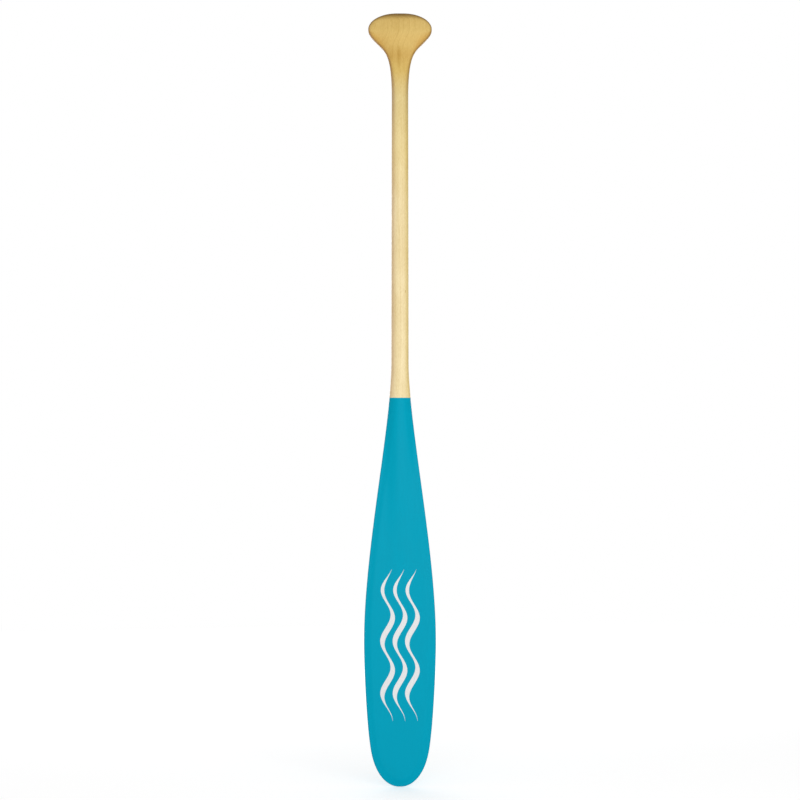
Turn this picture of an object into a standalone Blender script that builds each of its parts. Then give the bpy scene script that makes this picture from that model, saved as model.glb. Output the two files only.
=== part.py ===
"""A laminated wooden boat paddle, hanging by its grip with the blade's tip down.

The paddle is glued up from straight boards and then sawn and shaped as one. A long shaft board runs
from the tip of the blade to the end of the grip. Three strips on each side of it make the blade, and
a cheek on each side makes the grip. Heights here are measured upwards from the tip of the blade.
X runs across the blade, and the front face looks towards -Y.
"""
import bmesh
import bpy
import numpy as np

# Driving dimensions, in metres
LENGTH = 1.372  # tip of the blade to the end of the grip
HANG_BELOW_END = 0.085  # where a rack carries the grip's flare, below the end of the grip

BLADE_LENGTH = 0.755  # tip to the top of the throat, where the blade has faded into the shaft
BLADE_WIDTH = 0.1276
WIDEST_HEIGHT = 0.256
NOSE_HEIGHT = 0.060  # where the round nose turns into the long sides
NOSE_INSET = 0.013  # how far inside the blade's full width the outline is there
BLADE_THICKNESS = 0.009
EDGE_THICKNESS = 0.005  # of the rounded rim
EDGE_BEVEL = 0.014  # width of the slope from the flat of the blade out to the edge
RIDGE_WIDTH = 0.054  # of the spine that stands out of the flat of the blade
RIDGE_FOOT_HEIGHT = 0.330  # where the spine has sunk into the flat of the blade
THROAT_LENGTH = 0.200  # over which the oval shaft turns into the flat blade

SHAFT_WIDTH = 0.0304
SHAFT_DEPTH = 0.0285
NECK_WIDTH = 0.0292
NECK_DEPTH = 0.0275

GRIP_WIDTH = 0.1128
GRIP_DEPTH = 0.0285
WAIST_DEPTH = 0.0225  # where the fingers close round the thinnest part of the grip
NECK_BELOW_END = 0.150
WAIST_BELOW_END = 0.062
WAIST_LENGTH = 0.064  # over which the neck thins into the waist
FLARE_BELOW_END = 0.059  # where the flare of the grip is steepest
FLARE_INSET = 0.021  # how far inside the grip's full width the outline is there
CREST_BELOW_END = 0.029  # where the grip is widest
END_ROUNDING = 0.015  # height over which the end of the grip rounds over from front to back

SHAFT_ALLOWANCE = 0.0004  # left on each side of the shaft board beyond the widest of the shaft
GLUE_LINE = 0.0003
FEATHER = 0.0003  # width at which the feathered ends of the strips and cheeks are cut off
RIM_FLAT = 0.0008  # flat left along the middle of the rounded edges
END_FLAT = 0.006  # flat left at the tip and at the end of the grip

# The outline's curves: how far each handle reaches, as a share of the height it spans
TIP_FULLNESS = 0.012  # this one and END_FULLNESS are widths in metres
END_FULLNESS = 0.027
NOSE_REACH = (0.83, 0.19)
WIDEST_REACH = (0.26, 0.333)
THROAT_REACH = 0.236
NECK_REACH = 0.76
FLARE_REACH = (0.127, 0.43)
CREST_REACH = (0.34, 0.59)
NOSE_LEAN = 0.2  # half-width gained for each unit of height
FLARE_LEAN = 1.0
STRAIGHT_REACH = 1 / 3
# How many points each stretch of the outline has, and each section of a board from side to side
NOSE_STEPS = 11
LOWER_SIDE_STEPS = 6
UPPER_SIDE_STEPS = 15
SHAFT_STEPS = 6
NECK_STEPS = 10
FLARE_STEPS = 5
END_STEPS = 11
SHAFT_COLUMNS = 13
STRIP_COLUMNS = 7
CHEEK_COLUMNS = 10

SHAFT_ROUNDNESS = 2.1  # power of the oval section, where 2 is an ellipse
GRIP_ROUNDNESS = 4.6
STRIPS_PER_SIDE = 3
STRIP_NAMES = ("inner", "middle", "outer")
SHARP_ANGLE = 0.7  # radians; steeper corners are shaded as edges

PAINT = ((0.0, 0.356, 0.503, 1.0), 0.38)
VARNISHED_SHAFT_WOOD = ((0.85, 0.66, 0.36, 1.0), 0.30)
VARNISHED_GRIP_WOOD = ((0.72, 0.47, 0.16, 1.0), 0.30)

# Places that follow from the driving dimensions
TIP_BELOW_ORIGIN = LENGTH - HANG_BELOW_END
CREST_HEIGHT = LENGTH - CREST_BELOW_END
FLARE_HEIGHT = LENGTH - FLARE_BELOW_END
WAIST_HEIGHT = LENGTH - WAIST_BELOW_END
NECK_HEIGHT = LENGTH - NECK_BELOW_END
CORE_HALF = max(SHAFT_WIDTH, NECK_WIDTH) / 2 + SHAFT_ALLOWANCE
STRIP_WIDTH = (BLADE_WIDTH / 2 - CORE_HALF) / STRIPS_PER_SIDE


def curve(start, start_handle, end_handle, end, steps):
    """Points of a cubic Bezier curve, each a height and a half-width, without its last point."""
    t = np.linspace(0.0, 1.0, steps, endpoint=False)[:, None]
    return (
        (1 - t) ** 3 * np.array(start)
        + 3 * (1 - t) ** 2 * t * np.array(start_handle)
        + 3 * (1 - t) * t**2 * np.array(end_handle)
        + t**3 * np.array(end)
    )


def beside(knot, lean, distance):
    """The handle of a knot of the outline, some distance up (or, if negative, down) its tangent."""
    return (knot[0] + distance, knot[1] + lean * distance)


def side_curve(low, low_lean, low_reach, high, high_lean, high_reach, steps):
    """A stretch of the outline between two knots, whose handles are shares of its height."""
    span = high[0] - low[0]
    low_handle = beside(low, low_lean, low_reach * span)
    high_handle = beside(high, high_lean, -high_reach * span)
    return curve(low, low_handle, high_handle, high, steps)


def make_outline():
    """Heights and half-widths of the paddle's outline, from the tip to the end of the grip."""
    tip = (0.0, END_FLAT / 2)
    nose = (NOSE_HEIGHT, BLADE_WIDTH / 2 - NOSE_INSET)
    widest = (WIDEST_HEIGHT, BLADE_WIDTH / 2)
    throat = (BLADE_LENGTH, SHAFT_WIDTH / 2)
    neck = (NECK_HEIGHT, NECK_WIDTH / 2)
    flare = (FLARE_HEIGHT, GRIP_WIDTH / 2 - FLARE_INSET)
    crest = (CREST_HEIGHT, GRIP_WIDTH / 2)
    end = (LENGTH, END_FLAT / 2)
    nose_handle = beside(nose, NOSE_LEAN, -NOSE_REACH[0] * NOSE_HEIGHT)
    crest_handle = beside(crest, 0.0, CREST_REACH[1] * CREST_BELOW_END)
    parts = [
        curve(tip, (0.0, tip[1] + TIP_FULLNESS), nose_handle, nose, NOSE_STEPS),
        side_curve(nose, NOSE_LEAN, NOSE_REACH[1], widest, 0.0, WIDEST_REACH[0], LOWER_SIDE_STEPS),
        side_curve(widest, 0.0, WIDEST_REACH[1], throat, 0.0, THROAT_REACH, UPPER_SIDE_STEPS),
        side_curve(throat, 0.0, STRAIGHT_REACH, neck, 0.0, STRAIGHT_REACH, SHAFT_STEPS),
        side_curve(neck, 0.0, NECK_REACH, flare, FLARE_LEAN, FLARE_REACH[0], NECK_STEPS),
        side_curve(flare, FLARE_LEAN, FLARE_REACH[1], crest, 0.0, CREST_REACH[0], FLARE_STEPS),
        curve(crest, crest_handle, (LENGTH, end[1] + END_FULLNESS), end, END_STEPS),
        [end],
    ]
    return np.vstack(parts).T


HEIGHTS, HALF_WIDTHS = make_outline()


def half_width(height):
    return np.interp(height, HEIGHTS, HALF_WIDTHS)


def ease(value, low, high):
    """0 at low and 1 at high, with no kink at either."""
    t = np.clip((value - low) / (high - low), 0.0, 1.0)
    return t * t * (3 - 2 * t)


def centre_depth(height):
    """Half the paddle's thickness on its centre line."""
    depth = BLADE_THICKNESS
    depth += (SHAFT_DEPTH - BLADE_THICKNESS) * ease(height, RIDGE_FOOT_HEIGHT, BLADE_LENGTH)
    depth += (NECK_DEPTH - SHAFT_DEPTH) * ease(height, BLADE_LENGTH, NECK_HEIGHT)
    depth += (WAIST_DEPTH - NECK_DEPTH) * ease(height, WAIST_HEIGHT - WAIST_LENGTH, WAIST_HEIGHT)
    depth += (GRIP_DEPTH - WAIST_DEPTH) * ease(height, WAIST_HEIGHT, CREST_HEIGHT)
    past_rounding = np.clip((height - (LENGTH - END_ROUNDING)) / END_ROUNDING, 0.0, 1.0)
    return depth / 2 * np.sqrt(1 - past_rounding**2)


def oval_depth(x, height):
    """Half-thickness of the shaft's and the grip's oval section."""
    power = SHAFT_ROUNDNESS + (GRIP_ROUNDNESS - SHAFT_ROUNDNESS) * ease(height, NECK_HEIGHT, CREST_HEIGHT)
    share = np.clip(np.abs(x) / half_width(height), 0.0, 1.0)
    return centre_depth(height) * (1 - share**power) ** (1 / power)


def distance_inside(x, height):
    """How far a point of the blade lies inside its outline."""
    below_widest = HEIGHTS <= WIDEST_HEIGHT
    underside = np.interp(np.abs(x), HALF_WIDTHS[below_widest], HEIGHTS[below_widest])
    across = np.maximum(half_width(height) - np.abs(x), 0.0)
    up = np.maximum(height - underside, 0.0)
    return across * up / np.maximum(np.hypot(across, up), 1e-9)


def blade_depth(x, height):
    """Half-thickness of the flat blade: a round rim, a bevel, the flat, and the spine on it."""
    flat = BLADE_THICKNESS / 2
    rim = EDGE_THICKNESS / 2
    inside = distance_inside(x, height)
    into_rim = np.clip(1 - inside / rim, 0.0, 1.0)
    panel = rim * np.sqrt(1 - into_rim**2) + (flat - rim) * ease(inside, rim, EDGE_BEVEL)
    ridge_half = np.minimum(RIDGE_WIDTH / 2, half_width(height))
    bell = (1 - np.clip(np.abs(x) / ridge_half, 0.0, 1.0) ** 2) ** 2
    return panel + (centre_depth(height) - flat) * bell


def half_depth(x, height):
    """Half the paddle's thickness anywhere inside its outline."""
    bladeness = ease(BLADE_LENGTH - height, 0.0, THROAT_LENGTH)
    depth = (1 - bladeness) * oval_depth(x, height) + bladeness * blade_depth(x, height)
    return np.maximum(depth, RIM_FLAT / 2)


def make_material(name, look):
    color, roughness = look
    material = bpy.data.materials.new(name)
    material.use_nodes = True
    shader = material.node_tree.nodes["Principled BSDF"]
    shader.inputs["Base Color"].default_value = color
    shader.inputs["Roughness"].default_value = roughness
    shader.inputs["Metallic"].default_value = 0.0
    return material


def make_object(name, rings, look):
    """A closed solid that bridges rings of points, which run counterclockwise seen from above."""
    mesh = bmesh.new()
    loops = [[mesh.verts.new(point) for point in ring] for ring in rings]
    for low, high in zip(loops, loops[1:]):
        for i in range(len(low)):
            j = (i + 1) % len(low)
            mesh.faces.new((low[i], low[j], high[j], high[i]))
    mesh.faces.new(loops[0][::-1])
    mesh.faces.new(loops[-1])
    data = bpy.data.meshes.new(name)
    mesh.to_mesh(data)
    mesh.free()
    data.shade_smooth()
    data.set_sharp_from_angle(angle=SHARP_ANGLE)
    data.materials.append(make_material(name, look))
    piece = bpy.data.objects.new(name, data)
    piece.location = (0.0, 0.0, -TIP_BELOW_ORIGIN)
    bpy.context.scene.collection.objects.link(piece)
    return piece


def ring_at(height, left, right, columns):
    """One section of a board: its front face from left to right, then its back face."""
    x = left + (right - left) * columns
    depth = half_depth(x, np.full_like(x, height))
    front = [(a, -d, height) for a, d in zip(x, depth)]
    back = [(a, d, height) for a, d in zip(x, depth)]
    return front + back[::-1]


def heights_between(low, high):
    """The outline's heights inside a span, with the span's own ends."""
    margin = 0.02 * (high - low) / len(HEIGHTS)
    inside = HEIGHTS[(HEIGHTS > low + margin) & (HEIGHTS < high - margin)]
    return np.concatenate(([low], inside, [high]))


def span_wider_than(width, low, high):
    """The lowest and highest places between two heights where the outline is wider than that."""
    here = (HEIGHTS >= low) & (HEIGHTS <= high)
    heights, excess = HEIGHTS[here], HALF_WIDTHS[here] - width
    crossings = []
    for i in np.flatnonzero(excess[:-1] * excess[1:] < 0):
        share = excess[i] / (excess[i] - excess[i + 1])
        crossings.append(heights[i] + share * (heights[i + 1] - heights[i]))
    return crossings[0], crossings[-1]


def make_shaft():
    """The long board: the shaft itself, the middle of the blade and the middle of the grip."""
    reach = CORE_HALF - GLUE_LINE / 2
    columns = (1 + np.sin(np.linspace(-1, 1, SHAFT_COLUMNS) * np.pi / 2)) / 2
    rings = []
    for height in heights_between(0.0, LENGTH):
        side = min(half_width(height), reach)
        rings.append(ring_at(height, -side, side, columns))
    return make_object("shaft", rings, VARNISHED_SHAFT_WOOD)


def make_side_board(name, sign, width, stretch, points, look):
    """A strip or a cheek from its inner glue plane out to its outer one, or to the free edge."""
    inner, outer = width
    start, stop = span_wider_than(inner + FEATHER, *stretch)
    columns = np.sin(np.linspace(0, 1, points) * np.pi / 2)
    rings = []
    for height in heights_between(start, stop):
        far = min(half_width(height), outer)
        if sign > 0:
            rings.append(ring_at(height, inner, far, columns))
        else:
            rings.append(ring_at(height, -far, -inner, 1 - columns[::-1]))
    return make_object(name, rings, look)


def make_blade_strips():
    for side, sign in (("left", -1), ("right", 1)):
        for i, place in enumerate(STRIP_NAMES):
            inner = CORE_HALF + i * STRIP_WIDTH + GLUE_LINE / 2
            last = i == STRIPS_PER_SIDE - 1
            outer = BLADE_WIDTH / 2 if last else CORE_HALF + (i + 1) * STRIP_WIDTH - GLUE_LINE / 2
            name = f"blade_strip_{side}_{place}"
            make_side_board(name, sign, (inner, outer), (0.0, BLADE_LENGTH), STRIP_COLUMNS, PAINT)


def make_grip_cheeks():
    width = (CORE_HALF + GLUE_LINE / 2, GRIP_WIDTH / 2)
    for side, sign in (("left", -1), ("right", 1)):
        name = f"grip_cheek_{side}"
        make_side_board(name, sign, width, (NECK_HEIGHT, LENGTH), CHEEK_COLUMNS, VARNISHED_GRIP_WOOD)


def main():
    for old in list(bpy.data.objects):
        bpy.data.objects.remove(old)
    make_shaft()
    make_blade_strips()
    make_grip_cheeks()


main()
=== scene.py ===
"""The looks of a boat paddle: smooth boards, turquoise paint, varnished wood, a studio and a camera.

Every board of the model is drawn again here as a finer mesh of the same shape, and with no gap at its
glue lines. The part of the blade below the paint line is painted over all its boards, and the rest
is clear-varnished wood. Heights are measured upwards from the tip of the blade, as in the model.
"""
import math

import bmesh
import bpy
import numpy as np
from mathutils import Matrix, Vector


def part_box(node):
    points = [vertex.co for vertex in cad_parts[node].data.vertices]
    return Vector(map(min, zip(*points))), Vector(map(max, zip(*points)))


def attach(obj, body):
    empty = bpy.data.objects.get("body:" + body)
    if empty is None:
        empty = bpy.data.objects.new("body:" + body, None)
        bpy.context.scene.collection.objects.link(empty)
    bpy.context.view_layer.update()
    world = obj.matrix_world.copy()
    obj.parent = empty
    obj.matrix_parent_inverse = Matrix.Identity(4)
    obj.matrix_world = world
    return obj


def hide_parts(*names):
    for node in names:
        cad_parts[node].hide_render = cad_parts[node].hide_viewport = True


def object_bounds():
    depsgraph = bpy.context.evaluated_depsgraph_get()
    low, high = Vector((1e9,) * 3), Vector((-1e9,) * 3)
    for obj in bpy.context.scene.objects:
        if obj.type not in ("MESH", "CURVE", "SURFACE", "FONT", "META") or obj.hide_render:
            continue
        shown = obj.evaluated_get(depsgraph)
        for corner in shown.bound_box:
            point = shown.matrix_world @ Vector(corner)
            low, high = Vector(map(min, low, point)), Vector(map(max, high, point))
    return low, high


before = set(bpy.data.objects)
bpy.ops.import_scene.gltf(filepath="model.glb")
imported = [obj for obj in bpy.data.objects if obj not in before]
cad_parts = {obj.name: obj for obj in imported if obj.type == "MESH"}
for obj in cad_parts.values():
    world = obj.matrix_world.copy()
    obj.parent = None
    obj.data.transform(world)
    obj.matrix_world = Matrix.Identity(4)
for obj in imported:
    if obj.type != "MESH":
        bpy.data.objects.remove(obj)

CAD_LOW, CAD_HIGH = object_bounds()
MM = 0.001

# Places and sizes read from the boards in model.glb
TIP_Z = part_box("shaft")[0].z
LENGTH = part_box("shaft")[1].z - TIP_Z
BLADE_WIDTH = 2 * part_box("blade_strip_right_outer")[1].x
GRIP_WIDTH = 2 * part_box("grip_cheek_right")[1].x
MIDDLE = (CAD_LOW + CAD_HIGH) / 2

# The rest of the paddle's shape, as its boards are sawn and shaped, in metres
BLADE_LENGTH = 0.755  # tip to the top of the throat, where the blade has faded into the shaft
WIDEST_HEIGHT = 0.256
NOSE_HEIGHT = 0.060  # where the round nose turns into the long sides
NOSE_INSET = 0.013  # how far inside the blade's full width the outline is there
BLADE_THICKNESS = 0.009
EDGE_THICKNESS = 0.005  # of the rounded rim
EDGE_BEVEL = 0.014  # width of the slope from the flat of the blade out to the edge
RIDGE_WIDTH = 0.054  # of the spine that stands out of the flat of the blade
RIDGE_FOOT_HEIGHT = 0.330  # where the spine has sunk into the flat of the blade
THROAT_LENGTH = 0.200  # over which the oval shaft turns into the flat blade
SHAFT_WIDTH = 0.0304
SHAFT_DEPTH = 0.0285
NECK_WIDTH = 0.0292
NECK_DEPTH = 0.0275
GRIP_DEPTH = 0.0285
WAIST_DEPTH = 0.0225  # where the fingers close round the thinnest part of the grip
NECK_BELOW_END = 0.150
WAIST_BELOW_END = 0.062
WAIST_LENGTH = 0.064  # over which the neck thins into the waist
FLARE_BELOW_END = 0.059  # where the flare of the grip is steepest
FLARE_INSET = 0.021  # how far inside the grip's full width the outline is there
CREST_BELOW_END = 0.029  # where the grip is widest
END_ROUNDING = 0.015  # height over which the end of the grip rounds over from front to back
SHAFT_ALLOWANCE = 0.4 * MM  # left on each side of the shaft board beyond the widest of the shaft
FEATHER = 0.05 * MM  # width at which the feathered ends of the strips and cheeks are cut off
RIM_FLAT = 0.8 * MM  # flat left along the middle of the rounded edges
END_FLAT = 6 * MM  # flat left at the tip and at the end of the grip
STRIP_NAMES = ("inner", "middle", "outer")

# The outline's curves: how far each handle reaches, as a share of the height it spans
TIP_FULLNESS = 0.012  # this one and END_FULLNESS are widths in metres
END_FULLNESS = 0.027
NOSE_REACH = (0.83, 0.19)
WIDEST_REACH = (0.26, 0.333)
THROAT_REACH = 0.236
NECK_REACH = 0.76
FLARE_REACH = (0.127, 0.43)
CREST_REACH = (0.34, 0.59)
NOSE_LEAN = 0.2  # half-width gained for each unit of height
FLARE_LEAN = 1.0
STRAIGHT_REACH = 1 / 3
SHAFT_ROUNDNESS = 2.1  # power of the oval section, where 2 is an ellipse
GRIP_ROUNDNESS = 4.6

# How many points each stretch of the outline has, and each section of a board from side to side
NOSE_STEPS = 44
LOWER_SIDE_STEPS = 36
UPPER_SIDE_STEPS = 90
SHAFT_STEPS = 40
NECK_STEPS = 40
FLARE_STEPS = 18
END_STEPS = 44
SHAFT_COLUMNS = 41
STRIP_COLUMNS = 15
CHEEK_COLUMNS = 30
SHARP_ANGLE = math.radians(50)  # steeper corners are shaded as edges

# Places that follow from those sizes
CREST_HEIGHT = LENGTH - CREST_BELOW_END
FLARE_HEIGHT = LENGTH - FLARE_BELOW_END
WAIST_HEIGHT = LENGTH - WAIST_BELOW_END
NECK_HEIGHT = LENGTH - NECK_BELOW_END
CORE_HALF = max(SHAFT_WIDTH, NECK_WIDTH) / 2 + SHAFT_ALLOWANCE
STRIP_WIDTH = (BLADE_WIDTH / 2 - CORE_HALF) / len(STRIP_NAMES)

# Paint, whose cells of noise are counted to the metre, across and along the paddle
PAINT_LINE = 0.690  # height of the straight masked edge of the paint
PAINT_COLOUR = (0.0, 0.348, 0.498)
PAINT_ROUGHNESS = (0.38, 0.46)
PAINT_SHINE = 0.03
MOTTLE_CELLS = (30, 14)
MOTTLE_CONTRAST = 0.015
BRUSH_CELLS = (900, 14)
BRUSH_CONTRAST = 0.008
BRUSH_RELIEF = 0.02 * MM

# Motif on the front of the blade
MOTIF_COLOUR = (0.80, 0.80, 0.80)
MOTIF_LOW = 0.111  # heights between which it runs
MOTIF_HIGH = 0.391
MOTIF_TAPER = 60 * MM  # length over which a ripple comes to a point at each end
MOTIF_RIPPLES = 3
MOTIF_SPACING = 22 * MM
MOTIF_SWING = 9 * MM
MOTIF_WAVELENGTH = 93 * MM
MOTIF_STROKE = 11 * MM  # width of a ripple at its thickest
MOTIF_THINNING = 0.3  # how much of the stroke swells and thins, to each side of the rest
MOTIF_FINEST = 0.1 * MM  # half-width under which nothing is drawn
MOTIF_SOFT_EDGE = 0.12 * MM
MOTIF_RELIEF = 0.06 * MM

# Growth rings
RING_WIDTH = 2.5 * MM
GRAIN_TILT = math.radians(75)  # of the rings' sheets from the blade's face normal
BEND_CELLS = (12, 2.5)
BEND = 5 * MM  # how far the rings stray over long stretches of the wood
RIPPLE_CELLS = (90, 16)
RIPPLE = 0.6 * MM  # how far they waver over short ones
UNEVENNESS_CELLS = 0.6  # cells of noise to the year, which make one year wider than the next
LATE_WOOD = (0.74, 0.96)  # shares of a year at which its dark late wood starts and is darkest
LATE_WOOD_DARKENING = 0.08
EARLY_WOOD_FALL = (0.01, -0.015)  # what a year adds to the tone as it starts and towards its end
STRENGTH_CELLS = (1.7, 12)  # to the year, and to the metre along a ring
STRENGTH_RANGE = (0.42, 0.68)  # noise at which a ring's late wood is faintest and clearest
FAINTEST_RING = 0.10
CLEAR_RING = -9.3 * MM  # place of the one ring that shows clearly on the grip
CLEAR_RING_HALF = 0.16 * MM
CLEAR_RING_DARKENING = 0.08
CLEAR_RING_END = (0.060, 0.075)  # distances below the grip's end between which it fades out

# Finer figure of the wood
STREAK_CELLS = (3500, 7)  # to the metre across the rings, and along
STREAK_CONTRAST = 0.012
FIBRE_CELLS = (2000, 220, 900)  # the last is through the paddle
FIBRE_CONTRAST = 0.07
FIBRE_RELIEF = 0.008 * MM
CLOUD_CELLS = (45, 11)
CLOUD_CONTRAST = 0.05
CALM_SPREAD = 0.25  # how far from its middle a noise is taken in where its changes are gentle
GREEN_POWER = 1.4  # green and blue fall faster than red where the wood is darker
BLUE_POWER = 2.4

# Its darker stops at the grip's end and at its waist are painted shade over the honey colour of the wood
WOOD_TONES_AND_SHADE = (  # distance below the grip's end, and the wood's colour there
    (0.000, (0.63, 0.43, 0.137)),
    (0.045, (0.72, 0.50, 0.158)),
    (0.075, (0.63, 0.40, 0.107)),
    (0.104, (0.69, 0.475, 0.137)),
    (0.150, (0.80, 0.64, 0.300)),
    (0.250, (0.82, 0.65, 0.310)),
    (0.330, (0.88, 0.72, 0.405)),
)
WOOD_TONES_SPAN = 0.5

# The first two darken the middle of the grip's waist, partly as painted shade and partly as darker figure
# of the wood; the last is a small dark mark on the shaft.
WOOD_MARKS_AND_SHADE = (  # across, height, half-width, half-height and darkening of marks on the front
    (-1.5 * MM, LENGTH - 0.078, 5 * MM, 24 * MM, 0.10),
    (-2.0 * MM, LENGTH - 0.072, 1.6 * MM, 16 * MM, 0.08),
    (9.7 * MM, LENGTH - 0.494, 0.9 * MM, 3.5 * MM, 0.28),
)

# What the wood's colour is multiplied by for painted shade, where its surface turns away from the front:
# to the sides, down over the shoulders, out at the rims and up at the end of the grip, whose end grain is
# also darker
# painted shade with a warm cast on the sides that face +X and -X, which the light reaches more slantwise
RIGHT_SIDE_SHADE_TINT = (0.92, 0.87, 0.66)
LEFT_SIDE_SHADE_TINT = (0.95, 0.86, 0.88)
# painted shade on the shoulders of the grip, which face down towards the shaft
SHOULDER_SHADE_TINT = (0.87, 0.76, 0.58)
# painted shade on the rounded rims of the shaft and grip, which turn away from the front and back
RIM_SHADE_TINT = (0.70, 0.66, 0.76)
# darker end grain at the end of the grip, deepened into painted shade where the end rounds over away from
# the front
END_GRAIN_AND_SHADE_TINT = (0.66, 0.60, 0.48)

# How squarely a surface faces the side of the paddle where shade is painted, from 0 to 1, where the
# painted shade starts and is full
SIDE_FACING = (0.35, 0.9)
SHOULDER_FACING = (0.06, 0.30)
END_GRAIN_FACING = (0.1, 0.8)
RIM_FLATNESS = (0.55, 0.98)  # how squarely it faces front or back, where the rim's tint is full and gone
SHOULDER_END = (0.055, 0.080)  # distances below the grip's end between which a tint fades out
RIM_END = (0.06, 0.26)
SHOULDER_CLOUDS = (0.7, 1.0)  # least and most of the shoulder's tint, as the clouds vary it

# Studio
SKY_LIGHT = 0.42
FLOOR_LIGHT = 0.60
FLOOR_GLOW = 0.42  # added to the lit floor, so that it looks as white as the backdrop
FLOOR_SIZE = 60
FLOOR_GAP = 0.5 * MM  # between the tip and the floor
FLOOR_COLOUR = (0.93, 0.93, 0.93, 1.0)
FLOOR_FADE = (1.0, 3.0)  # distances out between which the floor turns into the backdrop
WHITE = (1.0, 1.0, 1.0, 1.0)
LAMP_WIDTH = 3.4
LAMP_HEIGHT = 1.3
LAMP_DISTANCE = 2.8
LENS = 100
SENSOR_WIDTH = 36
FRAME_MARGIN = 1.035  # height of the frame, for each unit of the paddle's length


def curve(start, start_handle, end_handle, end, steps):
    """Points of a cubic Bezier curve, each a height and a half-width, without its last point."""
    t = np.linspace(0.0, 1.0, steps, endpoint=False)[:, None]
    return (
        (1 - t) ** 3 * np.array(start)
        + 3 * (1 - t) ** 2 * t * np.array(start_handle)
        + 3 * (1 - t) * t**2 * np.array(end_handle)
        + t**3 * np.array(end)
    )


def beside(knot, lean, distance):
    """The handle of a knot of the outline, some distance up (or, if negative, down) its tangent."""
    return (knot[0] + distance, knot[1] + lean * distance)


def side_curve(low, low_lean, low_reach, high, high_lean, high_reach, steps):
    """A stretch of the outline between two knots, whose handles are shares of its height."""
    span = high[0] - low[0]
    low_handle = beside(low, low_lean, low_reach * span)
    high_handle = beside(high, high_lean, -high_reach * span)
    return curve(low, low_handle, high_handle, high, steps)


def make_outline():
    """Heights and half-widths of the paddle's outline, from the tip to the end of the grip."""
    tip = (0.0, END_FLAT / 2)
    nose = (NOSE_HEIGHT, BLADE_WIDTH / 2 - NOSE_INSET)
    widest = (WIDEST_HEIGHT, BLADE_WIDTH / 2)
    throat = (BLADE_LENGTH, SHAFT_WIDTH / 2)
    neck = (NECK_HEIGHT, NECK_WIDTH / 2)
    flare = (FLARE_HEIGHT, GRIP_WIDTH / 2 - FLARE_INSET)
    crest = (CREST_HEIGHT, GRIP_WIDTH / 2)
    end = (LENGTH, END_FLAT / 2)
    nose_handle = beside(nose, NOSE_LEAN, -NOSE_REACH[0] * NOSE_HEIGHT)
    crest_handle = beside(crest, 0.0, CREST_REACH[1] * (LENGTH - CREST_HEIGHT))
    parts = [
        curve(tip, (0.0, tip[1] + TIP_FULLNESS), nose_handle, nose, NOSE_STEPS),
        side_curve(nose, NOSE_LEAN, NOSE_REACH[1], widest, 0.0, WIDEST_REACH[0], LOWER_SIDE_STEPS),
        side_curve(widest, 0.0, WIDEST_REACH[1], throat, 0.0, THROAT_REACH, UPPER_SIDE_STEPS),
        side_curve(throat, 0.0, STRAIGHT_REACH, neck, 0.0, STRAIGHT_REACH, SHAFT_STEPS),
        side_curve(neck, 0.0, NECK_REACH, flare, FLARE_LEAN, FLARE_REACH[0], NECK_STEPS),
        side_curve(flare, FLARE_LEAN, FLARE_REACH[1], crest, 0.0, CREST_REACH[0], FLARE_STEPS),
        curve(crest, crest_handle, (LENGTH, end[1] + END_FULLNESS), end, END_STEPS),
        [end],
    ]
    return np.vstack(parts).T


HEIGHTS, HALF_WIDTHS = make_outline()


def half_width(height):
    return np.interp(height, HEIGHTS, HALF_WIDTHS)


def ease(value, low, high):
    """0 at low and 1 at high, with no kink at either."""
    t = np.clip((value - low) / (high - low), 0.0, 1.0)
    return t * t * (3 - 2 * t)


def centre_depth(height):
    """Half the paddle's thickness on its centre line."""
    depth = BLADE_THICKNESS
    depth += (SHAFT_DEPTH - BLADE_THICKNESS) * ease(height, RIDGE_FOOT_HEIGHT, BLADE_LENGTH)
    depth += (NECK_DEPTH - SHAFT_DEPTH) * ease(height, BLADE_LENGTH, NECK_HEIGHT)
    depth += (WAIST_DEPTH - NECK_DEPTH) * ease(height, WAIST_HEIGHT - WAIST_LENGTH, WAIST_HEIGHT)
    depth += (GRIP_DEPTH - WAIST_DEPTH) * ease(height, WAIST_HEIGHT, CREST_HEIGHT)
    past_rounding = np.clip((height - (LENGTH - END_ROUNDING)) / END_ROUNDING, 0.0, 1.0)
    return depth / 2 * np.sqrt(1 - past_rounding**2)


def oval_depth(x, height):
    """Half-thickness of the shaft's and the grip's oval section."""
    power = SHAFT_ROUNDNESS + (GRIP_ROUNDNESS - SHAFT_ROUNDNESS) * ease(height, NECK_HEIGHT, CREST_HEIGHT)
    share = np.clip(np.abs(x) / half_width(height), 0.0, 1.0)
    return centre_depth(height) * (1 - share**power) ** (1 / power)


def distance_inside(x, height):
    """How far a point of the blade lies inside its outline."""
    below_widest = HEIGHTS <= WIDEST_HEIGHT
    underside = np.interp(np.abs(x), HALF_WIDTHS[below_widest], HEIGHTS[below_widest])
    across = np.maximum(half_width(height) - np.abs(x), 0.0)
    up = np.maximum(height - underside, 0.0)
    return across * up / np.maximum(np.hypot(across, up), 1e-9)


def blade_depth(x, height):
    """Half-thickness of the flat blade: a round rim, a bevel, the flat, and the spine on it."""
    flat = BLADE_THICKNESS / 2
    rim = EDGE_THICKNESS / 2
    inside = distance_inside(x, height)
    into_rim = np.clip(1 - inside / rim, 0.0, 1.0)
    panel = rim * np.sqrt(1 - into_rim**2) + (flat - rim) * ease(inside, rim, EDGE_BEVEL)
    ridge_half = np.minimum(RIDGE_WIDTH / 2, half_width(height))
    bell = (1 - np.clip(np.abs(x) / ridge_half, 0.0, 1.0) ** 2) ** 2
    return panel + (centre_depth(height) - flat) * bell


def half_depth(x, height):
    """Half the paddle's thickness anywhere inside its outline."""
    bladeness = ease(BLADE_LENGTH - height, 0.0, THROAT_LENGTH)
    depth = (1 - bladeness) * oval_depth(x, height) + bladeness * blade_depth(x, height)
    return np.maximum(depth, RIM_FLAT / 2)


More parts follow.
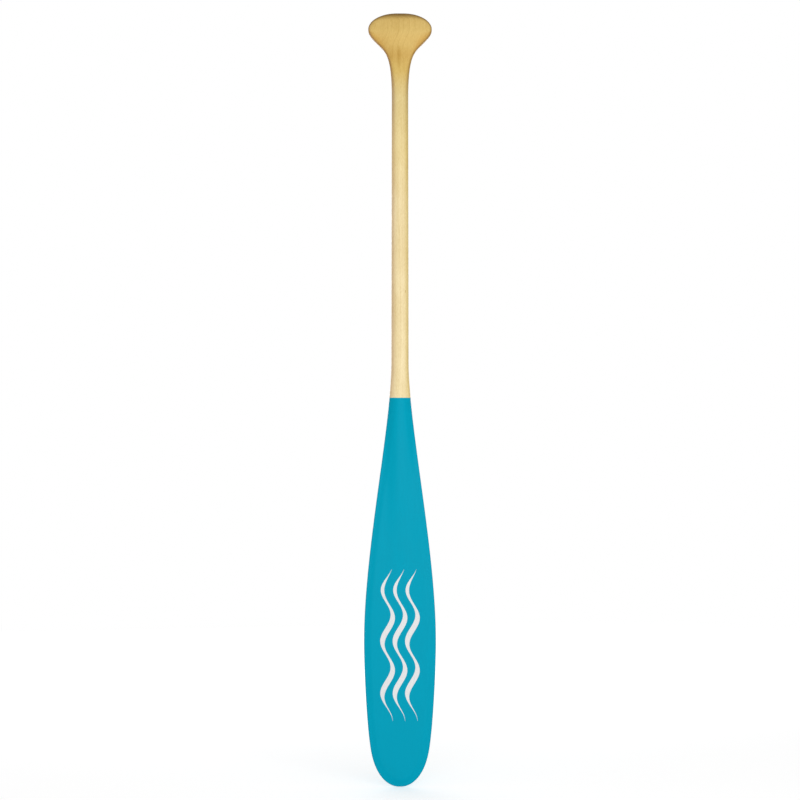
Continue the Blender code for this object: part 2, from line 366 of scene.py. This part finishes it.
def ring_at(height, left, right, columns):
    """One section of a board: its front face from left to right, then its back face."""
    x = left + (right - left) * columns
    depth = half_depth(x, np.full_like(x, height))
    front = [(a, -d, height + TIP_Z) for a, d in zip(x, depth)]
    back = [(a, d, height + TIP_Z) for a, d in zip(x, depth)]
    return front + back[::-1]


def heights_between(low, high):
    """The outline's heights inside a span, with the span's own ends and the paint line.

    A height that all but touches an end is left out, so that no two sections come too close.
    """
    margin = 0.02 * (high - low) / len(HEIGHTS)
    inside = HEIGHTS[(HEIGHTS > low + margin) & (HEIGHTS < high - margin)]
    if low < PAINT_LINE < high:
        inside = np.sort(np.append(inside, PAINT_LINE))
    return np.concatenate(([low], inside, [high]))


def span_wider_than(width, low, high):
    """The lowest and highest places between two heights where the outline is wider than that."""
    here = (HEIGHTS >= low) & (HEIGHTS <= high)
    heights, excess = HEIGHTS[here], HALF_WIDTHS[here] - width
    crossings = []
    for i in np.flatnonzero(excess[:-1] * excess[1:] < 0):
        share = excess[i] / (excess[i] - excess[i + 1])
        crossings.append(heights[i] + share * (heights[i + 1] - heights[i]))
    return crossings[0], crossings[-1]


def make_board(node, rings, finishes):
    """A closed solid through rings of points, painted below the paint line if it has a second finish."""
    mesh = bmesh.new()
    loops = [[mesh.verts.new(point) for point in ring] for ring in rings]
    for low, high in zip(loops, loops[1:]):
        painted = len(finishes) > 1 and high[0].co.z < TIP_Z + PAINT_LINE + 1e-6
        for i in range(len(low)):
            j = (i + 1) % len(low)
            face = mesh.faces.new((low[i], low[j], high[j], high[i]))
            face.material_index = int(painted)
    bottom = mesh.faces.new(loops[0][::-1])
    bottom.material_index = int(len(finishes) > 1)
    mesh.faces.new(loops[-1])
    data = bpy.data.meshes.new(f"smooth_{node}")
    mesh.to_mesh(data)
    mesh.free()
    data.shade_smooth()
    data.set_sharp_from_angle(angle=SHARP_ANGLE)
    for finish in finishes:
        data.materials.append(finish)
    piece = bpy.data.objects.new(f"smooth_{node}", data)
    bpy.context.scene.collection.objects.link(piece)
    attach(piece, "root")
    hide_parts(node)


def make_shaft(wood, paint):
    """The board that runs the whole length, from the tip of the blade to the end of the grip."""
    columns = (1 + np.sin(np.linspace(-1, 1, SHAFT_COLUMNS) * np.pi / 2)) / 2
    rings = []
    for height in heights_between(0.0, LENGTH):
        side = min(half_width(height), CORE_HALF)
        rings.append(ring_at(height, -side, side, columns))
    make_board("shaft", rings, [wood, paint])


def make_side_board(node, sign, width, stretch, points, finishes):
    """A strip of the blade or a cheek of the grip, between two distances from the centre line."""
    inner, outer = width
    start, stop = span_wider_than(inner + FEATHER, *stretch)
    columns = np.sin(np.linspace(0, 1, points) * np.pi / 2)
    rings = []
    for height in heights_between(start, stop):
        far = min(half_width(height), outer)
        if sign > 0:
            rings.append(ring_at(height, inner, far, columns))
        else:
            rings.append(ring_at(height, -far, -inner, 1 - columns[::-1]))
    make_board(node, rings, finishes)


def make_boards(wood, paint):
    """The shaft's board, and on each side of it the blade's strips and the grip's cheek."""
    make_shaft(wood, paint)
    for side, sign in (("left", -1), ("right", 1)):
        for i, place in enumerate(STRIP_NAMES):
            node = f"blade_strip_{side}_{place}"
            width = (CORE_HALF + i * STRIP_WIDTH, CORE_HALF + (i + 1) * STRIP_WIDTH)
            stretch = (0.0, BLADE_LENGTH)
            make_side_board(node, sign, width, stretch, STRIP_COLUMNS, [wood, paint])
        node = f"grip_cheek_{side}"
        width = (CORE_HALF, GRIP_WIDTH / 2)
        stretch = (NECK_HEIGHT, LENGTH)
        make_side_board(node, sign, width, stretch, CHEEK_COLUMNS, [wood])


class Recipe:
    """Adds nodes to one new material, by short calls that return the nodes' outputs."""

    def __init__(self, name):
        self.material = bpy.data.materials.new(name)
        self.material.use_nodes = True
        self.tree = self.material.node_tree
        self.shader = self.tree.nodes["Principled BSDF"]
        coordinates = self.add("ShaderNodeTexCoord")
        self.place = coordinates.outputs["Object"]
        self.facing = coordinates.outputs["Normal"]
        split = self.add("ShaderNodeSeparateXYZ", Vector=self.place)
        self.x, self.y, self.z = split.outputs
        self.height = self.calc("SUBTRACT", self.z, TIP_Z)
        self.below_end = self.calc("SUBTRACT", LENGTH, self.height)

    def add(self, kind, settings=None, **inputs):
        node = self.tree.nodes.new(kind)
        for name, value in (settings or {}).items():
            setattr(node, name, value)
        for name, value in inputs.items():
            self.set(node.inputs[name], value)
        return node

    def set(self, socket, value):
        """Links a node's output to an input, or writes a plain value there."""
        if isinstance(value, bpy.types.NodeSocket):
            self.tree.links.new(value, socket)
        else:
            socket.default_value = value

    def calc(self, operation, *values):
        node = self.tree.nodes.new("ShaderNodeMath")
        node.operation = operation
        for socket, value in zip(node.inputs, values):
            self.set(socket, value)
        return node.outputs[0]

    def total(self, first, *others):
        for other in others:
            first = self.calc("ADD", first, other)
        return first

    def product(self, first, *others):
        for other in others:
            first = self.calc("MULTIPLY", first, other)
        return first

    def fade(self, value, low, high, start=0.0, end=1.0):
        """A smooth change from start to end as a value goes from low to high."""
        node = self.add("ShaderNodeMapRange", {"interpolation_type": "SMOOTHSTEP"}, Value=value)
        for name, number in (("From Min", low), ("From Max", high), ("To Min", start), ("To Max", end)):
            node.inputs[name].default_value = number
        return node.outputs["Result"]

    def noise(self, vector, detail=2.0, roughness=0.5):
        node = self.add("ShaderNodeTexNoise", Vector=vector, Scale=1.0, Detail=detail, Roughness=roughness)
        return node.outputs["Fac"]

    def contrast(self, noise, start, end, spread=0.2):
        """A smooth change from start to end as a noise crosses the range around its middle value."""
        return self.fade(noise, 0.5 - spread, 0.5 + spread, start, end)

    def vector(self, x, y, z):
        return self.add("ShaderNodeCombineXYZ", X=x, Y=y, Z=z).outputs[0]

    def stretched(self, across, along, through=None):
        """The place counted in cells: so many to the metre across, along and through the paddle."""
        counts = (across, through or across, along)
        axes = (self.x, self.y, self.z)
        return self.vector(*(self.product(axis, count) for axis, count in zip(axes, counts)))

    def on_front(self):
        return self.calc("LESS_THAN", self.y, 0.0)

    def spot(self, x, height, half_across, half_along, strength):
        """A soft-edged oval darkening at one place on the front, used both for marks and for painted
        shade.
        """
        across = self.calc("DIVIDE", self.calc("SUBTRACT", self.x, x), half_across)
        along = self.calc("DIVIDE", self.calc("SUBTRACT", self.height, height), half_along)
        away = self.total(self.product(across, across), self.product(along, along))
        return self.product(self.fade(away, 0.0, 1.0, strength, 0.0), self.on_front())

    def mix(self, factor, a, b, kind="MIX"):
        """Blends two colours, each a node's output or three plain numbers."""
        node = self.add("ShaderNodeMix", {"data_type": "RGBA", "blend_type": kind})
        for socket, value in zip((node.inputs[0], node.inputs[6], node.inputs[7]), (factor, a, b)):
            self.set(socket, value if isinstance(value, (float, bpy.types.NodeSocket)) else (*value, 1.0))
        return node.outputs[2]

    def tint(self, colour, share, tint):
        return self.mix(share, colour, self.mix(1.0, colour, tint, "MULTIPLY"))

    def bump(self, height):
        """A normal from a height in metres."""
        return self.add("ShaderNodeBump", Height=height, Distance=1.0, Strength=1.0).outputs[0]

    def finish(self, **sockets):
        """Sets inputs of the shader, whose names are written with _ for each space."""
        for name, value in sockets.items():
            self.set(self.shader.inputs[name.replace("_", " ")], value)
        return self.material


def motif_mask(r):
    """Three tapering ripples that run side by side along the front of the blade."""
    phase = r.product(r.height, 2 * math.pi / MOTIF_WAVELENGTH)
    across = r.calc("SUBTRACT", r.x, r.product(r.calc("SINE", phase), MOTIF_SWING))
    to_ripple = r.calc("ABSOLUTE", r.calc("WRAP", across, MOTIF_SPACING / 2, -MOTIF_SPACING / 2))
    rising = r.fade(r.height, MOTIF_LOW, MOTIF_LOW + MOTIF_TAPER)
    falling = r.fade(r.height, MOTIF_HIGH - MOTIF_TAPER, MOTIF_HIGH, 1.0, 0.0)
    thick_and_thin = r.calc("MULTIPLY_ADD", r.calc("COSINE", phase), MOTIF_THINNING, 1 - MOTIF_THINNING)
    half = r.product(rising, falling, thick_and_thin, MOTIF_STROKE / 2)
    painted = r.fade(r.calc("SUBTRACT", half, to_ripple), -MOTIF_SOFT_EDGE, MOTIF_SOFT_EDGE)
    near = r.calc("LESS_THAN", r.calc("ABSOLUTE", across), MOTIF_RIPPLES * MOTIF_SPACING / 2)
    drawn = r.calc("GREATER_THAN", half, MOTIF_FINEST)
    return r.product(painted, near, r.on_front(), drawn)


def make_paint():
    """Satin turquoise paint with faint brushing along the blade, and the pale motif over it."""
    r = Recipe("turquoise_paint")
    brushing = r.noise(r.stretched(*BRUSH_CELLS), 3)
    mottling = r.noise(r.stretched(*MOTTLE_CELLS), 3)
    tone = r.total(
        r.contrast(mottling, 1 - MOTTLE_CONTRAST, 1.0),
        r.contrast(brushing, -BRUSH_CONTRAST, BRUSH_CONTRAST),
    )
    mask = motif_mask(r)
    colour = r.mix(mask, PAINT_COLOUR, MOTIF_COLOUR)
    film = r.total(r.product(mask, MOTIF_RELIEF), r.product(brushing, BRUSH_RELIEF))
    return r.finish(
        Base_Color=r.mix(1.0, colour, r.vector(tone, tone, tone), "MULTIPLY"),
        Roughness=r.contrast(mottling, *PAINT_ROUGHNESS),
        Specular_IOR_Level=PAINT_SHINE,
        Normal=r.bump(film),
    )


def colour_and_shade_by_place(r):
    """The wood's colour, from honey at the grip to blond on the shaft, with painted shade where it is
    darker at the waist and at the end of the grip.
    """
    ramp = r.add("ShaderNodeValToRGB", Fac=r.calc("DIVIDE", r.below_end, WOOD_TONES_SPAN))
    stops = ramp.color_ramp.elements
    stops.remove(stops[1])
    for i, (place, colour) in enumerate(WOOD_TONES_AND_SHADE):
        stop = stops[0] if i == 0 else stops.new(place / WOOD_TONES_SPAN)
        stop.color = (*colour, 1.0)
    return ramp.outputs[0]


def growth_across(r):
    """How far out in the tree each place grew: as flat sheets of rings, and as they really bend."""
    flat = r.product(r.x, math.cos(GRAIN_TILT))
    flat = r.calc("MULTIPLY_ADD", r.y, math.sin(GRAIN_TILT), flat)
    bent = r.calc("MULTIPLY_ADD", r.noise(r.stretched(*BEND_CELLS), 1), BEND, flat)
    bent = r.calc("MULTIPLY_ADD", r.noise(r.stretched(*RIPPLE_CELLS), 1), RIPPLE, bent)
    return flat, bent


def ring_tone(r, growth):
    """What the growth rings add to the tone: slowly less through a year, then a dark line at its end.

    The numbers 3 and 9 here only pick other stretches of the noise.
    """
    years = r.calc("DIVIDE", growth, RING_WIDTH)
    years = r.total(years, r.noise(r.vector(r.product(years, UNEVENNESS_CELLS), 0.0, 3.0), 0))
    season = r.calc("FRACT", years)
    year = r.product(r.calc("FLOOR", years), STRENGTH_CELLS[0])
    strength = r.noise(r.vector(year, 9.0, r.product(r.z, STRENGTH_CELLS[1])), 1)
    late = r.product(
        r.fade(season, *LATE_WOOD),
        r.fade(season, LATE_WOOD[1], 1.0, 1.0, 0.0),
        r.fade(strength, *STRENGTH_RANGE, FAINTEST_RING, 1.0),
        LATE_WOOD_DARKENING,
    )
    early = r.fade(season, 0.0, 0.9, *EARLY_WOOD_FALL)
    return r.calc("SUBTRACT", early, late)


def clear_ring(r, growth):
    """How much the one clear ring darkens the palm of the grip."""
    away = r.calc("ABSOLUTE", r.calc("SUBTRACT", growth, CLEAR_RING))
    line = r.fade(away, 0.0, CLEAR_RING_HALF, CLEAR_RING_DARKENING, 0.0)
    return r.product(line, r.fade(r.below_end, *CLEAR_RING_END, 1.0, 0.0))


def paint_shade_by_facing(r, colour, clouds):
    """Darkens the wood by the side that each place of its surface faces: painted shade, and at the grip's
    end darker end grain too.
    """
    right, back, up = r.add("ShaderNodeSeparateXYZ", Vector=r.facing).outputs
    left = r.product(right, -1.0)
    down = r.product(up, -1.0)
    flatness = r.calc("ABSOLUTE", back)
    shoulder_shade = r.product(
        r.fade(down, *SHOULDER_FACING),
        r.fade(r.below_end, *SHOULDER_END, 1.0, 0.0),
        r.contrast(clouds, *SHOULDER_CLOUDS, CALM_SPREAD),
    )
    rim = r.product(r.fade(flatness, *RIM_FLATNESS, 1.0, 0.0), r.fade(r.below_end, *RIM_END, 1.0, 0.0))
    colour = r.tint(colour, r.fade(right, *SIDE_FACING), RIGHT_SIDE_SHADE_TINT)
    colour = r.tint(colour, r.fade(left, *SIDE_FACING), LEFT_SIDE_SHADE_TINT)
    colour = r.tint(colour, shoulder_shade, SHOULDER_SHADE_TINT)
    colour = r.tint(colour, rim, RIM_SHADE_TINT)
    return r.tint(colour, r.fade(up, *END_GRAIN_FACING), END_GRAIN_AND_SHADE_TINT)


def make_wood():
    """Pale wood with wide, nearly flat-sawn growth rings under satin varnish, honey-coloured at the grip.

    The rings are flat sheets through the whole paddle that lean a little off its face, so that each one
    comes out as a thin line along the shaft, which bends aside where the grip's waist is cut deeper.
    """
    r = Recipe("varnished_wood")
    flat_growth, growth = growth_across(r)
    by_ring = r.vector(r.product(growth, STREAK_CELLS[0]), r.product(r.z, STREAK_CELLS[1]), 0.0)
    streaks = r.noise(by_ring, 2)
    fibres = r.noise(r.stretched(*FIBRE_CELLS), 3, 0.6)
    clouds = r.noise(r.stretched(*CLOUD_CELLS), 3)
    tone = r.total(
        r.contrast(streaks, 1 - STREAK_CONTRAST, 1 + STREAK_CONTRAST, CALM_SPREAD),
        r.contrast(fibres, -FIBRE_CONTRAST, FIBRE_CONTRAST),
        r.contrast(clouds, -CLOUD_CONTRAST, CLOUD_CONTRAST, CALM_SPREAD),
        ring_tone(r, growth),
    )
    # the clear growth ring, the marks, and painted shade in the grip's waist
    marks_and_shade = r.total(clear_ring(r, flat_growth), *(r.spot(*mark) for mark in WOOD_MARKS_AND_SHADE))
    tone = r.calc("SUBTRACT", tone, marks_and_shade)
    deeper = r.vector(tone, r.calc("POWER", tone, GREEN_POWER), r.calc("POWER", tone, BLUE_POWER))
    colour = r.mix(1.0, colour_and_shade_by_place(r), deeper, "MULTIPLY")
    return r.finish(
        Base_Color=paint_shade_by_facing(r, colour, clouds),
        Roughness=0.6,
        Specular_IOR_Level=0.05,
        Normal=r.bump(r.product(fibres, FIBRE_RELIEF)),
        Coat_Weight=0.10,
        Coat_Roughness=0.30,
    )


def seen_directly(tree):
    """1 on what the camera sees, itself or in a reflection or through glass, and 0 where light bounces."""
    rays = tree.nodes.new("ShaderNodeLightPath")
    total = rays.outputs["Is Camera Ray"]
    for kind in ("Glossy", "Transmission"):
        add = tree.nodes.new("ShaderNodeMath")
        add.use_clamp = True
        tree.links.new(total, add.inputs[0])
        tree.links.new(rays.outputs[f"Is {kind} Ray"], add.inputs[1])
        total = add.outputs[0]
    return total


def white_backdrop(tree, light):
    """Strength of a white that is plain to the camera and dimmer as a light."""
    strength = tree.nodes.new("ShaderNodeMapRange")
    strength.inputs["To Min"].default_value = light
    strength.inputs["To Max"].default_value = 1.0
    tree.links.new(seen_directly(tree), strength.inputs["Value"])
    return strength.outputs["Result"]


def make_floor():
    """A pale floor just under the tip, which turns into the plain white of the backdrop far out."""
    bpy.ops.mesh.primitive_plane_add(size=FLOOR_SIZE, location=(0, 0, CAD_LOW.z - FLOOR_GAP))
    floor = bpy.context.object
    floor.name = "floor"
    r = Recipe("pale_floor")
    away = r.add("ShaderNodeVectorMath", {"operation": "LENGTH"}, Vector=r.place).outputs["Value"]
    far_out = r.fade(away, *FLOOR_FADE)
    white = r.add("ShaderNodeEmission", Strength=white_backdrop(r.tree, FLOOR_LIGHT)).outputs[0]
    glow = r.product(seen_directly(r.tree), FLOOR_GLOW)
    blend = r.tree.nodes.new("ShaderNodeMixShader")
    r.finish(Base_Color=FLOOR_COLOUR, Roughness=1.0, Specular_IOR_Level=0.0)
    r.finish(Emission_Color=WHITE, Emission_Strength=glow)
    for socket, value in zip(blend.inputs, (far_out, r.shader.outputs[0], white)):
        r.set(socket, value)
    r.set(r.tree.nodes["Material Output"].inputs["Surface"], blend.outputs[0])
    floor.data.materials.append(r.material)


def make_world():
    """A plain soft sky of light, seen as white by the camera and in reflections."""
    world = bpy.data.worlds.new("studio")
    bpy.context.scene.world = world
    world.use_nodes = True
    background = world.node_tree.nodes["Background"]
    background.inputs["Color"].default_value = WHITE
    world.node_tree.links.new(white_backdrop(world.node_tree, SKY_LIGHT), background.inputs["Strength"])


def make_softbox(name, azimuth, power):
    """A wide, low lamp that faces the paddle's middle. Azimuth 0 is in front of it and 90 at its right."""
    lamp = bpy.data.objects.new(name, bpy.data.lights.new(name, "AREA"))
    lamp.data.shape = "RECTANGLE"
    lamp.data.size = LAMP_WIDTH
    lamp.data.size_y = LAMP_HEIGHT
    lamp.data.energy = power
    angle = math.radians(azimuth)
    way = Vector((math.sin(angle), -math.cos(angle), 0))
    lamp.location = MIDDLE + way * LAMP_DISTANCE
    lamp.rotation_euler = (math.radians(90), 0, angle)
    bpy.context.scene.collection.objects.link(lamp)


def make_camera():
    """Square on to the front of the blade, far off through a long lens, as the photograph is."""
    camera = bpy.data.objects.new("camera", bpy.data.cameras.new("camera"))
    camera.data.lens = LENS
    camera.data.sensor_width = SENSOR_WIDTH
    distance = LENGTH * FRAME_MARGIN * LENS / SENSOR_WIDTH
    camera.location = MIDDLE + Vector((0, -distance, 0))
    camera.rotation_euler = (math.radians(90), 0, 0)
    bpy.context.scene.collection.objects.link(camera)
    bpy.context.scene.camera = camera


make_boards(make_wood(), make_paint())
make_floor()
make_world()
make_softbox("front", azimuth=10, power=50)
make_softbox("back", azimuth=190, power=46)
make_camera()
bpy.context.scene.view_settings.view_transform = "Standard"
